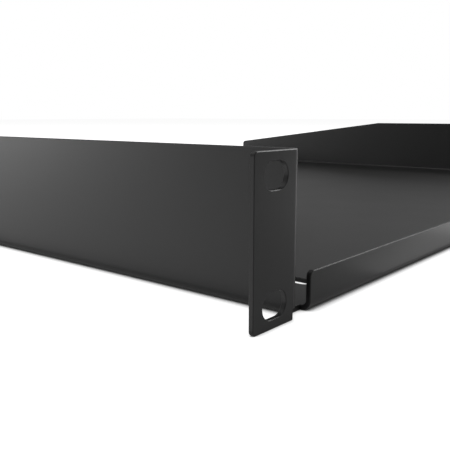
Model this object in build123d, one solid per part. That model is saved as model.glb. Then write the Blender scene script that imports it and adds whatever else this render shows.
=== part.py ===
from build123d import *
import os

# One rack unit cantilever shelf, folded from a single blank of sheet steel.
#
# Frame: X across the rack, +Y into the rack, +Z up. The origin lies on the rear face of the
# mounting ears, the plane that meets the rack's rails, at the centre of their four slots.

# Driving dimensions, in millimetres.

# The sheet, its folds and the deburring of its cut edges
sheet = 1.5
bend_inside = 1.5
fold_relief = 0.3
edge_break = 0.2

# The 19-inch rack panel that the two ears make together. The tray hangs between the rails,
# so its walls stand inside the panel's ends by the reach of the ears.
panel_width = 482.6
panel_height = 43.66
ear_reach = 18.3
ear_corner_radius = 1.2

# The mounting slots, measured in from the panel's ends and from its top and bottom edges
slot_inset = 8.75
slot_drop = 5.955
slot_length = 9.9
slot_width = 6.9

# The outline of the side walls
depth = 364.0
wall_level_length = 196.0
wall_rear_height = 21.8
wall_corner_radius = 3.0
wall_break_radius = 10.0

# The low lips that stiffen the front and the rear of the floor. They stop short of the walls.
lip_end_gap = 6.9
front_lip_height = 11.2
rear_lip_height = 11.2
lip_corner_radius = 1.7

# The strap slots through the floor, one near each front corner
strap_slot_width = 5.8
strap_slot_length = 18.0
strap_slot_inset = 27.8
strap_slot_setback = 12.0

# Places that follow from them. The front is the ears' front face, and the floor's
# corners are cut back from the front and rear so that the folds beside them can close.
bend_outside = bend_inside + sheet
front = -sheet
rear = front + depth
base = -panel_height / 2
top = base + panel_height
wall_outer = panel_width / 2 - ear_reach
wall_inner = wall_outer - sheet
floor_start = front + bend_outside + fold_relief
floor_end = rear - bend_outside - fold_relief
overlap = sheet


def folded_section(*points):
    """Section through folded sheet. Its outer skin runs through the points, the steel on their left."""
    skin = FilletPolyline(*points, radius=bend_outside)
    return make_face(offset(skin, amount=sheet, side=Side.LEFT))


def side_outline():
    """The tray seen from its right, as Y and Z: a level top edge, then a straight fall to the rear."""
    rear_top = (rear, base + wall_rear_height)
    fall_start = (front + wall_level_length, top)
    front_base = (floor_start, base)
    rear_base = (rear, base)
    front_top = (floor_start, top)
    outline = make_face(Polyline(front_base, rear_base, rear_top, fall_start, front_top, close=True))
    outline = fillet(outline.vertices().sort_by_distance(rear_top)[0], wall_corner_radius)
    return fillet(outline.vertices().sort_by_distance(fall_start)[0], wall_break_radius)


def make_tray():
    """Floor and side walls as one channel, cut to the side outline and set back for the rear lip."""
    left_top = (-wall_outer, top)
    left_base = (-wall_outer, base)
    right_base = (wall_outer, base)
    right_top = (wall_outer, top)
    section = folded_section(left_top, left_base, right_base, right_top)
    channel = extrude(Plane.XZ * section, amount=-rear)
    tray = channel & extrude(Plane.YZ * side_outline(), amount=wall_outer, both=True)
    # The chamfer started on the rear edge runs on along both walls to their front ends.
    tray = chamfer(tray.edges().filter_by(Axis.X).group_by(Axis.Y)[-1], edge_break)
    setback = Box(
        2 * (wall_outer - bend_outside),
        rear - floor_end,
        sheet,
        align=(Align.CENTER, Align.MIN, Align.MIN),
    )
    return tray - Pos(0, floor_end, base) * setback


def make_lip(height):
    """A lip that faces -Y and stands on Y = 0, with the fold that joins it to the floor."""
    run = bend_outside + fold_relief + overlap
    section = folded_section((0, base + height), (0, base), (run, base))
    lip = extrude(Plane.YZ * section, amount=wall_outer - lip_end_gap, both=True)
    lip = fillet(lip.edges().filter_by(Axis.Y).group_by(Axis.Z)[-1], lip_corner_radius)
    return chamfer(lip.edges().filter_by(Axis.X).group_by(Axis.Z)[-1], edge_break)


def make_left_ear():
    """The ear at -X with the fold that joins it to its wall. Its foot reaches down to the base."""
    wall_stub = floor_start + overlap
    ear_end = (-panel_width / 2, front)
    section = folded_section(ear_end, (-wall_inner, front), (-wall_inner, wall_stub))
    ear = extrude(Pos(0, 0, base) * section, amount=panel_height)
    ear = fillet(ear.edges().filter_by(Axis.Y).group_by(Axis.X)[0], ear_corner_radius)
    ear = chamfer(ear.edges().filter_by(Axis.Z).group_by(Axis.X)[0], edge_break)
    corner_cut = Box(
        bend_outside,
        wall_stub - front,
        bend_outside,
        align=(Align.MAX, Align.MIN, Align.MIN),
    )
    return ear - Pos(-wall_inner, front, base) * corner_cut


def mounting_slots():
    """The four slots of the ears, as solids to cut with."""
    slot = extrude(Plane.XZ * SlotOverall(slot_length, slot_width), amount=2 * sheet, both=True)
    across = panel_width - 2 * slot_inset
    up = panel_height - 2 * slot_drop
    places = GridLocations(across, up, 2, 2)
    return [Pos(place.position.X, 0, place.position.Y) * slot for place in places]


def strap_slots():
    """The two slots of the floor, which run from front to rear, as solids to cut with."""
    outline = SlotOverall(strap_slot_length, strap_slot_width, rotation=90)
    slot = extrude(outline, amount=2 * sheet, both=True)
    centre_y = front + strap_slot_setback + strap_slot_length / 2
    places = GridLocations(2 * (wall_outer - strap_slot_inset), 1, 2, 1)
    return [Pos(place.position.X, centre_y, base) * slot for place in places]


def hole_rims(solid):
    """Both edges of every hole through the flats of the sheet."""
    flats = solid.faces().filter_by(GeomType.PLANE)
    return ShapeList(edge for flat in flats for wire in flat.inner_wires() for edge in wire.edges())


def make_shelf():
    """The whole folded sheet."""
    left_ear = make_left_ear()
    front_lip = Pos(0, front, 0) * make_lip(front_lip_height)
    rear_lip = Pos(0, rear, 0) * mirror(make_lip(rear_lip_height), about=Plane.XZ)
    shelf = make_tray() + [left_ear, mirror(left_ear, about=Plane.YZ), front_lip, rear_lip]
    shelf -= mounting_slots() + strap_slots()
    return chamfer(hole_rims(shelf), edge_break)


os.makedirs("parts", exist_ok=True)
export_step(make_shelf(), "parts/rack_shelf.step")
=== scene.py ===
"""Looks of a rack shelf folded from one sheet of steel: powder coat, studio floor, light and camera."""

import math
from typing import NamedTuple

import bpy
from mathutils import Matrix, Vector


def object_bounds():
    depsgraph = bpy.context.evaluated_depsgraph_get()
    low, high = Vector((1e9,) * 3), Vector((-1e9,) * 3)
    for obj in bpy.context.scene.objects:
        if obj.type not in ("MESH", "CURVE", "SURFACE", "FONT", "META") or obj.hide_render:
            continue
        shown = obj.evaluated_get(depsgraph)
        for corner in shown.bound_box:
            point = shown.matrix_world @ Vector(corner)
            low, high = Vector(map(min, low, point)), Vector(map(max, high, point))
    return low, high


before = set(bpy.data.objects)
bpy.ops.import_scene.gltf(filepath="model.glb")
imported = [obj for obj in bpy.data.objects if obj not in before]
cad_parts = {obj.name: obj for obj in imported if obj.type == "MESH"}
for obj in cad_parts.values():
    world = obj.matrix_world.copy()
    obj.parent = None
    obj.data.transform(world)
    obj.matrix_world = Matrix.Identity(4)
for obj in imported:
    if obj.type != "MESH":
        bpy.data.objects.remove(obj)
cad_low, cad_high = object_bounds()

bl_info = {
    "name": "Powder-coated rack shelf",
    "version": (1, 0, 0),
    "blender": (4, 5, 0),
    "location": "View3D > Sidebar > Rack shelf",
    "description": "Finishes a folded sheet steel rack shelf and sets it on a studio floor",
    "category": "Object",
}

SHELF_NODE = "rack_shelf"
COAT_SLOT = "powder_coat"
MM = 0.001
WHITE = (1.0, 1.0, 1.0, 1.0)

# Corners of the mesh that lie closer together than this are one corner.
CORNER_GAP = 0.001 * MM

# How far the wide flats outweigh the narrow faces beside them when the shading is smoothed;
# 50 is neutral and 100 is the most.
FLATS_WEIGHT = 100

# Layers of ever finer noise in each texture of the coat
CLOUD_DETAIL = 4.0
GRAIN_DETAIL = 2.0
PEEL_DETAIL = 1.0

# The coat is drawn thin where a surface turns away from a rounded copy of itself, and there its colour is
# lighter, partly as wear and partly as a painted highlight. These are the cosines of that turn where the
# thinning starts and where it is complete.
THINNING_STARTS = 0.995
THINNING_ENDS = 0.9

# Close to the shelf a point of the floor sees only a share of its surroundings, and there its glow is
# darkened as a painted contact shadow. It is fully dark up to the first share, and as bright as the open
# floor from the second.
PAINTED_SHADOW_DARK = 0.1
PAINTED_SHADOW_CLEAR = 0.9

# Rays that look for an edge round each point of the coat, and for the shelf round each point of the floor
# whose glow gets a painted contact shadow
EDGE_SAMPLES = 8
PAINTED_SHADOW_SAMPLES = 16

# Width of the camera's sensor, in millimetres
SENSOR_WIDTH = 36.0

# Height of the softboxes that lie flat, just clear of the floor
CARD_LEVEL = cad_low.z + 0.83 * MM


class ShelfCoatSettings(bpy.types.PropertyGroup):
    """Colour, gloss and texture of the powder coat, and the smoothing of the folds."""

    color: bpy.props.FloatVectorProperty(
        name="Coat colour",
        description="Colour of the black powder coat",
        subtype="COLOR",
        size=3,
        min=0.0,
        max=1.0,
        default=(0.02, 0.02, 0.02),
    )
    color_spread: bpy.props.FloatProperty(
        name="Colour spread",
        description="How far the coat's colour wanders from its mean, as a share of it",
        subtype="FACTOR",
        min=0.0,
        max=1.0,
        default=0.15,
    )
    roughness: bpy.props.FloatProperty(
        name="Roughness",
        description="Roughness of the satin coat away from the sheet's edges",
        subtype="FACTOR",
        min=0.0,
        max=1.0,
        default=0.4,
    )
    roughness_spread: bpy.props.FloatProperty(
        name="Roughness spread",
        description="How far the roughness wanders from its mean",
        subtype="FACTOR",
        min=0.0,
        max=0.5,
        default=0.03,
    )
    shine: bpy.props.FloatProperty(
        name="Shine",
        description="Strength of the coat's shine seen face on; 0.5 is that of common clear lacquer",
        subtype="FACTOR",
        min=0.0,
        max=1.0,
        default=0.4,
    )
    # Along the sheet's edges the colour is a little lighter: partly wear of the thin coat, partly a
    # painted highlight.
    edge_wear_and_highlight_color: bpy.props.FloatVectorProperty(
        name="Edge colour",
        description="Colour where the coat is drawn thin and rubbed over the sheet's edges",
        subtype="COLOR",
        size=3,
        min=0.0,
        max=1.0,
        default=(0.024, 0.024, 0.024),
    )
    edge_roughness: bpy.props.FloatProperty(
        name="Edge roughness",
        description="Roughness where the coat is drawn thin over the sheet's edges",
        subtype="FACTOR",
        min=0.0,
        max=1.0,
        default=0.3,
    )
    edge_reach: bpy.props.FloatProperty(
        name="Edge reach",
        description="How far in from an edge the coat is drawn thin",
        subtype="DISTANCE",
        unit="LENGTH",
        min=0.0,
        default=0.5 * MM,
    )
    cloud_size: bpy.props.FloatProperty(
        name="Cloud size",
        description="Size of the faint clouds in the coat's colour and gloss",
        subtype="DISTANCE",
        unit="LENGTH",
        min=MM,
        default=45 * MM,
    )
    grain_size: bpy.props.FloatProperty(
        name="Grain size",
        description="Size of the fine grains that the powder leaves",
        subtype="DISTANCE",
        unit="LENGTH",
        min=0.05 * MM,
        default=0.35 * MM,
    )
    grain_height: bpy.props.FloatProperty(
        name="Grain height",
        description="Height of the fine grains",
        subtype="DISTANCE",
        unit="LENGTH",
        min=0.0,
        default=0.006 * MM,
    )
    peel_size: bpy.props.FloatProperty(
        name="Peel size",
        description="Size of the soft waves that the coat flows into as it cures",
        subtype="DISTANCE",
        unit="LENGTH",
        min=0.1 * MM,
        default=2.2 * MM,
    )
    peel_height: bpy.props.FloatProperty(
        name="Peel height",
        description="Height of the soft waves",
        subtype="DISTANCE",
        unit="LENGTH",
        min=0.0,
        default=0.008 * MM,
    )
    smooth_angle: bpy.props.FloatProperty(
        name="Smooth angle",
        description="Edges that turn by less than this angle are shaded smooth",
        subtype="ANGLE",
        unit="ROTATION",
        min=0.0,
        max=math.pi,
        default=math.radians(30),
    )


class ShelfStudioSettings(bpy.types.PropertyGroup):
    """The floor, the light round the shelf and the camera."""

    floor_reach: bpy.props.FloatProperty(
        name="Floor reach",
        description="Distance from the shelf to the floor's far edges",
        subtype="DISTANCE",
        unit="LENGTH",
        min=1.0,
        default=6.0,
    )
    floor_color: bpy.props.FloatVectorProperty(
        name="Floor colour",
        description="Colour of the pale studio floor",
        subtype="COLOR",
        size=3,
        min=0.0,
        max=1.0,
        default=(0.6, 0.6, 0.6),
    )
    floor_glow: bpy.props.FloatProperty(
        name="Floor glow",
        description="Light that the floor adds for the camera, so that it shows white",
        min=0.0,
        max=1.0,
        default=0.9,
    )
    mirrored_glow: bpy.props.FloatProperty(
        name="Mirrored glow",
        description="Light that the floor adds where the shelf mirrors it",
        min=0.0,
        max=1.0,
        default=0.12,
    )
    # The floor's glow is darkened near the shelf, out to this reach, as a painted contact shadow.
    painted_shadow_reach: bpy.props.FloatProperty(
        name="Contact reach",
        description="How far out from the shelf the floor is darkened by it",
        subtype="DISTANCE",
        unit="LENGTH",
        min=MM,
        default=4 * MM,
    )
    surround_level: bpy.props.FloatProperty(
        name="Surround level",
        description="Brightness of the plain surroundings",
        min=0.0,
        default=0.1,
    )
    lamp_level: bpy.props.FloatProperty(
        name="Lamp level",
        description="Brightness of all the softboxes, as a share of their written power",
        min=0.0,
        default=1.0,
    )
    camera_place: bpy.props.FloatVectorProperty(
        name="Camera place",
        description="Where the camera stands",
        subtype="TRANSLATION",
        unit="LENGTH",
        size=3,
        default=(-0.35377, -0.08591, 0.03002),
    )
    camera_turn: bpy.props.FloatProperty(
        name="Camera turn",
        description="How far the camera is turned from straight into the rack towards the shelf's right",
        subtype="ANGLE",
        unit="ROTATION",
        default=math.radians(50.42),
    )
    camera_drop: bpy.props.FloatProperty(
        name="Camera drop",
        description="How far the camera looks down from level",
        subtype="ANGLE",
        unit="ROTATION",
        default=math.radians(10.02),
    )
    focal_length: bpy.props.FloatProperty(
        name="Focal length",
        description="Focal length of the lens, in millimetres, on a sensor 36 mm wide",
        min=1.0,
        default=50.0,
    )


def new_group(name, kind="ShaderNodeTree"):
    """An empty node group with its input and output nodes."""
    group = bpy.data.node_groups.new(name, kind)
    entry = group.nodes.new("NodeGroupInput")
    leave = group.nodes.new("NodeGroupOutput")
    return group, entry, leave


def new_math(tree, operation, *values):
    """A Math node on sockets or numbers; returns its result."""
    node = tree.nodes.new("ShaderNodeMath")
    node.operation = operation
    for socket, value in zip(node.inputs, values):
        if isinstance(value, bpy.types.NodeSocket):
            tree.links.new(value, socket)
        else:
            socket.default_value = value
    return node.outputs["Value"]


def smoothing_group(smooth_angle):
    """Joins the loose corners of the mesh and shades all but its sharp edges smooth."""
    group, entry, leave = new_group("smooth_folds", "GeometryNodeTree")
    group.interface.new_socket("Geometry", in_out="INPUT", socket_type="NodeSocketGeometry")
    group.interface.new_socket("Geometry", in_out="OUTPUT", socket_type="NodeSocketGeometry")
    merge = group.nodes.new("GeometryNodeMergeByDistance")
    merge.inputs["Distance"].default_value = CORNER_GAP
    smooth_faces = group.nodes.new("GeometryNodeSetShadeSmooth")
    smooth_faces.domain = "FACE"
    smooth_edges = group.nodes.new("GeometryNodeSetShadeSmooth")
    smooth_edges.domain = "EDGE"
    angle = group.nodes.new("GeometryNodeInputMeshEdgeAngle")
    compare = group.nodes.new("FunctionNodeCompare")
    compare.operation = "LESS_THAN"
    compare.inputs["B"].default_value = smooth_angle
    group.links.new(entry.outputs["Geometry"], merge.inputs["Geometry"])
    group.links.new(merge.outputs["Geometry"], smooth_faces.inputs["Geometry"])
    group.links.new(smooth_faces.outputs["Geometry"], smooth_edges.inputs["Geometry"])
    group.links.new(angle.outputs["Unsigned Angle"], compare.inputs["A"])
    group.links.new(compare.outputs["Result"], smooth_edges.inputs["Shade Smooth"])
    group.links.new(smooth_edges.outputs["Geometry"], leave.inputs["Geometry"])
    return group


def smooth_folds(shelf, smooth_angle):
    """Shades the folds as true arcs, and keeps the flats and the broken edges flat."""
    folds = shelf.modifiers.new("smooth_folds", "NODES")
    folds.node_group = smoothing_group(smooth_angle)
    flats = shelf.modifiers.new("flats_stay_flat", "WEIGHTED_NORMAL")
    flats.weight = FLATS_WEIGHT
    flats.keep_sharp = True


def add_inputs(group, *names):
    """Number inputs for a shader node group."""
    for name in names:
        group.interface.new_socket(name, in_out="INPUT", socket_type="NodeSocketFloat")


def add_output(group, name):
    """One number output for a shader node group."""
    group.interface.new_socket(name, in_out="OUTPUT", socket_type="NodeSocketFloat")


def sized_noise(group, size, detail):
    """Noise that stays with the steel, with features of the size that comes in; runs from 0 to 1."""
    place = group.nodes.new("ShaderNodeTexCoord")
    noise = group.nodes.new("ShaderNodeTexNoise")
    noise.inputs["Detail"].default_value = detail
    group.links.new(place.outputs["Object"], noise.inputs["Vector"])
    group.links.new(new_math(group, "DIVIDE", 1.0, size), noise.inputs["Scale"])
    return noise.outputs["Fac"]


def wander(group, mean, cloud, spread):
    """A value that wanders round its mean by up to the spread, as the cloud runs from 0 to 1."""
    swing = new_math(group, "MULTIPLY_ADD", cloud, 2.0, -1.0)
    return new_math(group, "MULTIPLY_ADD", swing, spread, mean)


def cloud_group():
    """Faint clouds that powder leaves where it lands thicker or thinner, from 0 to 1."""
    group, entry, leave = new_group("coat_clouds")
    add_inputs(group, "Cloud size")
    add_output(group, "Cloud")
    cloud = sized_noise(group, entry.outputs["Cloud size"], CLOUD_DETAIL)
    group.links.new(cloud, leave.inputs["Cloud"])
    return group


def edge_group():
    """1 along the sheet's edges, where the coat draws thin and its lighter colour is partly wear and
    partly a painted highlight, and 0 on its flats.
    """
    group, entry, leave = new_group("coat_edges_worn_and_highlit")
    add_inputs(group, "Reach")
    add_output(group, "Edge")
    rounded = group.nodes.new("ShaderNodeBevel")
    rounded.samples = EDGE_SAMPLES
    surface = group.nodes.new("ShaderNodeNewGeometry")
    agree = group.nodes.new("ShaderNodeVectorMath")
    agree.operation = "DOT_PRODUCT"
    edge = group.nodes.new("ShaderNodeMapRange")
    edge.interpolation_type = "SMOOTHSTEP"
    edge.inputs["From Min"].default_value = THINNING_STARTS
    edge.inputs["From Max"].default_value = THINNING_ENDS
    group.links.new(entry.outputs["Reach"], rounded.inputs["Radius"])
    group.links.new(rounded.outputs["Normal"], agree.inputs[0])
    group.links.new(surface.outputs["True Normal"], agree.inputs[1])
    group.links.new(agree.outputs["Value"], edge.inputs["Value"])
    group.links.new(edge.outputs["Result"], leave.inputs["Edge"])
    return group


def texture_group():
    """Height of the cured powder: soft waves with fine grains on them."""
    group, entry, leave = new_group("coat_texture")
    add_inputs(group, "Grain size", "Grain height", "Peel size", "Peel height")
    add_output(group, "Height")
    grain = sized_noise(group, entry.outputs["Grain size"], GRAIN_DETAIL)
    peel = sized_noise(group, entry.outputs["Peel size"], PEEL_DETAIL)
    grain_height = new_math(group, "MULTIPLY", grain, entry.outputs["Grain height"])
    height = new_math(group, "MULTIPLY_ADD", peel, entry.outputs["Peel height"], grain_height)
    group.links.new(height, leave.inputs["Height"])
    return group


def place_group(tree, group, **values):
    """Puts a node group into a material with values of its own; underscores stand for spaces."""
    node = tree.nodes.new("ShaderNodeGroup")
    node.node_tree = group
    for name, value in values.items():
        node.inputs[name.replace("_", " ").capitalize()].default_value = value
    return node


def coat_material(coat):
    """Satin black powder coat on sheet steel."""
    material = bpy.data.materials.new(COAT_SLOT)
    material.use_nodes = True
    tree = material.node_tree
    shader = tree.nodes["Principled BSDF"]
    shader.inputs["Specular IOR Level"].default_value = coat.shine
    clouds = place_group(tree, cloud_group(), cloud_size=coat.cloud_size)
    edges = place_group(tree, edge_group(), reach=coat.edge_reach)
    texture = place_group(
        tree,
        texture_group(),
        grain_size=coat.grain_size,
        grain_height=coat.grain_height,
        peel_size=coat.peel_size,
        peel_height=coat.peel_height,
    )

    # The noise of the clouds and the mask of the edges each go into both colour and roughness; the
    # lighter edge colour is partly wear and partly a painted highlight.
    color = tree.nodes.new("ShaderNodeMixRGB")
    color.inputs["Color2"].default_value = (*coat.edge_wear_and_highlight_color, 1.0)
    flat_color = tree.nodes.new("ShaderNodeHueSaturation")
    flat_color.inputs["Color"].default_value = (*coat.color, 1.0)
    brightness = wander(tree, 1.0, clouds.outputs["Cloud"], coat.color_spread)
    tree.links.new(brightness, flat_color.inputs["Value"])
    tree.links.new(edges.outputs["Edge"], color.inputs["Fac"])
    tree.links.new(flat_color.outputs["Color"], color.inputs["Color1"])
    tree.links.new(color.outputs["Color"], shader.inputs["Base Color"])

    roughness = tree.nodes.new("ShaderNodeMix")
    roughness.inputs["B"].default_value = coat.edge_roughness
    flat_roughness = wander(tree, coat.roughness, clouds.outputs["Cloud"], coat.roughness_spread)
    tree.links.new(edges.outputs["Edge"], roughness.inputs["Factor"])
    tree.links.new(flat_roughness, roughness.inputs["A"])
    tree.links.new(roughness.outputs["Result"], shader.inputs["Roughness"])

    # The texture's heights are true lengths, so the bump takes them at full scale.
    bump = tree.nodes.new("ShaderNodeBump")
    bump.inputs["Distance"].default_value = 1.0
    tree.links.new(texture.outputs["Height"], bump.inputs["Height"])
    tree.links.new(bump.outputs["Normal"], shader.inputs["Normal"])
    return material


class SHELF_OT_finish_sheet(bpy.types.Operator):
    """Smooths the folds of the shelf and coats it."""

    bl_idname = "shelf.finish_sheet"
    bl_label = "Finish the sheet"

    def execute(self, context):
        coat = context.scene.shelf_coat
        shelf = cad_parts[SHELF_NODE]
        smooth_folds(shelf, coat.smooth_angle)
        shelf.data.materials.clear()
        shelf.data.materials.append(coat_material(coat))
        return {"FINISHED"}


def painted_contact_shadow(tree, reach):
    """Painted contact shadow for the floor's glow: 1 where the floor lies open and 0 where it meets the
    shelf.
    """
    occlusion = tree.nodes.new("ShaderNodeAmbientOcclusion")
    occlusion.samples = PAINTED_SHADOW_SAMPLES
    occlusion.inputs["Distance"].default_value = reach
    clear = tree.nodes.new("ShaderNodeMapRange")
    clear.interpolation_type = "SMOOTHSTEP"
    clear.inputs["From Min"].default_value = PAINTED_SHADOW_DARK
    clear.inputs["From Max"].default_value = PAINTED_SHADOW_CLEAR
    tree.links.new(occlusion.outputs["AO"], clear.inputs["Value"])
    return clear.outputs["Result"]


def floor_material(studio):
    """Pale floor that shows white and takes the shelf's shadow: a real shadow in its lit colour and a
    painted contact shadow in its glow.
    """
    material = bpy.data.materials.new("studio_floor")
    material.use_nodes = True
    tree = material.node_tree
    shader = tree.nodes["Principled BSDF"]
    shader.inputs["Base Color"].default_value = (*studio.floor_color, 1.0)
    shader.inputs["Roughness"].default_value = 1.0
    shader.inputs["Specular IOR Level"].default_value = 0.0
    shader.inputs["Emission Color"].default_value = WHITE
    rays = tree.nodes.new("ShaderNodeLightPath").outputs
    mirrored = new_math(tree, "MAXIMUM", rays["Is Glossy Ray"], rays["Is Transmission Ray"])
    # The glow the camera sees is darkened next to the shelf: a painted contact shadow.
    seen = new_math(tree, "MULTIPLY", rays["Is Camera Ray"], painted_contact_shadow(tree, studio.painted_shadow_reach))
    seen_glow = new_math(tree, "MULTIPLY", seen, studio.floor_glow)
    glow = new_math(tree, "MULTIPLY_ADD", mirrored, studio.mirrored_glow, seen_glow)
    tree.links.new(glow, shader.inputs["Emission Strength"])
    return material


def add_floor(studio):
    """A large level floor that the shelf lies on."""
    reach = studio.floor_reach
    height = cad_low.z
    corners = [(-reach, -reach), (reach, -reach), (reach, reach), (-reach, reach)]
    mesh = bpy.data.meshes.new("studio_floor")
    mesh.from_pydata([(x, y, height) for x, y in corners], [], [(0, 1, 2, 3)])
    mesh.materials.append(floor_material(studio))
    floor = bpy.data.objects.new("studio_floor", mesh)
    bpy.context.scene.collection.objects.link(floor)


def add_world(studio):
    """Plain surroundings, which show white behind the shelf."""
    world = bpy.data.worlds.new("studio_world")
    world.use_nodes = True
    tree = world.node_tree
    shader = tree.nodes["Background"]
    shader.inputs["Color"].default_value = WHITE
    rays = tree.nodes.new("ShaderNodeLightPath").outputs
    level = new_math(tree, "MAXIMUM", rays["Is Camera Ray"], studio.surround_level)
    tree.links.new(level, shader.inputs["Strength"])
    bpy.context.scene.world = world


class Softbox(NamedTuple):
    """A soft lamp, with its place in metres, its width and length, and its power in watts.

    It faces the middle of the shelf or, where it lies flat, shines straight up.
    """

    name: str
    place: tuple
    width: float
    length: float
    power: float
    lies_flat: bool = False


SOFTBOXES = (
    Softbox("rear_left_strip", place=(-0.87, 1.52, 0.14), width=0.8, length=0.3, power=4.4),
    Softbox(
        "left_card",
        place=(-0.715, 0.80, CARD_LEVEL),
        width=0.97,
        length=1.6,
        power=2.4,
        lies_flat=True,
    ),
    Softbox("right_card", place=(1.45, 0.80, 0.28), width=0.8, length=0.6, power=0.52),
    Softbox("overhead_left", place=(-1.23, 0.18, 1.82), width=1.2, length=1.2, power=15.5),
    Softbox("front_fill", place=(0.0, -1.38, 1.56), width=1.2, length=1.2, power=2.5),
    Softbox("rear_fill", place=(0.0, 1.59, 1.69), width=1.2, length=1.2, power=3.5),
    Softbox("edge_light", place=(1.44, -0.15, 1.03), width=0.8, length=0.8, power=10.0),
    Softbox("front_right_card", place=(0.50, -0.12, 0.02), width=0.16, length=0.16, power=0.15),
    Softbox(
        "front_card",
        place=(0.22, -0.06, CARD_LEVEL),
        width=0.6,
        length=0.1,
        power=0.25,
        lies_flat=True,
    ),
    Softbox(
        "lip_card",
        place=(0.02, -0.012, CARD_LEVEL),
        width=0.38,
        length=0.018,
        power=0.0095,
        lies_flat=True,
    ),
)


def softbox_turn(box):
    """The turn that points a softbox's back away from what it lights."""
    if box.lies_flat:
        back = Vector((0.0, 0.0, -1.0))
    else:
        back = Vector(box.place) - (cad_low + cad_high) / 2
    return back.to_track_quat("Z", "Y").to_euler()


def add_softbox(box, level):
    """A softbox that lights the shelf and doesn't show in the picture."""
    data = bpy.data.lights.new(box.name, "AREA")
    data.shape = "RECTANGLE"
    data.size = box.width
    data.size_y = box.length
    data.energy = box.power * level
    lamp = bpy.data.objects.new(box.name, data)
    lamp.location = box.place
    lamp.rotation_euler = softbox_turn(box)
    lamp.visible_camera = False
    bpy.context.scene.collection.objects.link(lamp)


def add_camera(studio):
    """The camera beside the shelf's left front corner, a little above the tops of the walls."""
    data = bpy.data.cameras.new("studio_camera")
    data.sensor_width = SENSOR_WIDTH
    data.lens = studio.focal_length
    data.clip_start = MM
    camera = bpy.data.objects.new("studio_camera", data)
    camera.location = studio.camera_place
    camera.rotation_euler = (math.pi / 2 - studio.camera_drop, 0.0, -studio.camera_turn)
    bpy.context.scene.collection.objects.link(camera)
    bpy.context.scene.camera = camera


class SHELF_OT_build_stage(bpy.types.Operator):
    """Adds the studio floor, the light and the camera."""

    bl_idname = "shelf.build_stage"
    bl_label = "Build the stage"

    def execute(self, context):
        studio = context.scene.shelf_studio
        add_floor(studio)
        add_world(studio)
        for box in SOFTBOXES:
            add_softbox(box, studio.lamp_level)
        add_camera(studio)
        context.scene.view_settings.view_transform = "Standard"
        return {"FINISHED"}


class SHELF_PT_panel(bpy.types.Panel):
    """Lists the settings and the steps that finish the shelf."""

    bl_idname = "SHELF_PT_panel"
    bl_label = "Rack shelf"
    bl_space_type = "VIEW_3D"
    bl_region_type = "UI"
    bl_category = "Rack shelf"

    def draw(self, context):
        layout = self.layout
        for settings in (context.scene.shelf_coat, context.scene.shelf_studio):
            box = layout.box()
            for name in settings.__annotations__:
                box.prop(settings, name)
        for step in STEPS:
            layout.operator(step.bl_idname)


STEPS = (SHELF_OT_finish_sheet, SHELF_OT_build_stage)
CLASSES = (ShelfCoatSettings, ShelfStudioSettings, *STEPS, SHELF_PT_panel)


def register():
    for item in CLASSES:
        bpy.utils.register_class(item)
    bpy.types.Scene.shelf_coat = bpy.props.PointerProperty(type=ShelfCoatSettings)
    bpy.types.Scene.shelf_studio = bpy.props.PointerProperty(type=ShelfStudioSettings)


def unregister():
    del bpy.types.Scene.shelf_studio
    del bpy.types.Scene.shelf_coat
    for item in reversed(CLASSES):
        bpy.utils.unregister_class(item)


def main():
    register()
    bpy.ops.shelf.finish_sheet()
    bpy.ops.shelf.build_stage()


if __name__ == "__main__":
    main()
